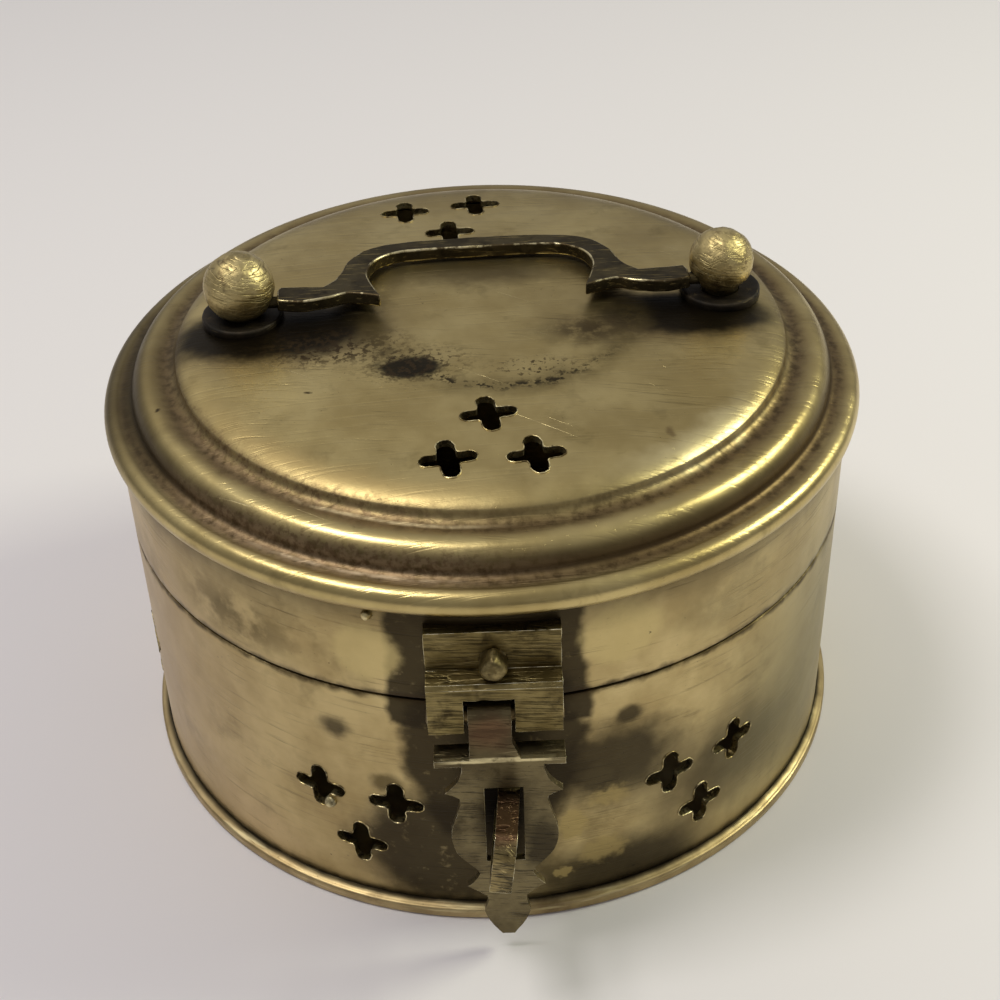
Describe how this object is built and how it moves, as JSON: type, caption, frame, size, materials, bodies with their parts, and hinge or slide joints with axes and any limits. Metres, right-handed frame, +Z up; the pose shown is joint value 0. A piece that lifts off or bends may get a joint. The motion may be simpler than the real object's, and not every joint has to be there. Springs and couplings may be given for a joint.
{
  "type": "trinket box",
  "caption": "Round pierced brass trinket box with a hinged stepped lid, a fold-down bail handle between ball posts, and a front hasp that drops over a staple",
  "frame": {"origin": "centre of the flat underside of the base plate, on the surface that the box stands on", "axes": "+Z up through the lid, +Y towards the rear hinge, -Y towards the hasp, +X to the right seen from the front"},
  "size_m": [0.105, 0.1215, 0.0734],
  "materials": {
    "sheet_brass": "old polished sheet brass with olive-brown tarnish in the hollows",
    "worn_brass": "cast or filed brass, rubbed bright where it is handled",
    "aged_brass": "filed brass strip, tarnished brown with bright worn edges",
    "dark_brass": "brass under dark brown-black patina"
  },
  "bodies": {
    "box": {"base_plate": "worn_brass", "body_wall": "sheet_brass", "staple": "worn_brass", "hinge_lower_leaf": "aged_brass", "hinge_lower_rivet": "aged_brass", "hinge_pin": "dark_brass"},
    "lid": {"lid_top": "sheet_brass", "lid_band": "sheet_brass", "left_post": "worn_brass", "right_post": "worn_brass", "left_collar": "dark_brass", "right_collar": "dark_brass", "hasp_leaf": "aged_brass", "hasp_leaf_rivet": "aged_brass", "hasp_pin": "dark_brass", "hinge_upper_leaf": "aged_brass", "hinge_upper_rivet": "aged_brass"},
    "handle": {"handle": "dark_brass"},
    "hasp": {"hasp": "aged_brass"}
  },
  "joints": [
    {"name": "lid_hinge", "type": "hinge", "parent": "box", "child": "lid", "pos_m": [0, 0.0534, 0.0392], "axis": [-1, 0, 0], "range_deg": [0, 105]},
    {"name": "hasp_hinge", "type": "hinge", "parent": "lid", "child": "hasp", "pos_m": [0, -0.0534, 0.0396], "axis": [-1, 0, 0], "range_deg": [0, 105]},
    {"name": "handle_hinge", "type": "hinge", "parent": "lid", "child": "handle", "pos_m": [0.00054, 0.0023, 0.06628], "axis": [0.9992, 0.0401, 0], "range_deg": [0, 186]}
  ]
}
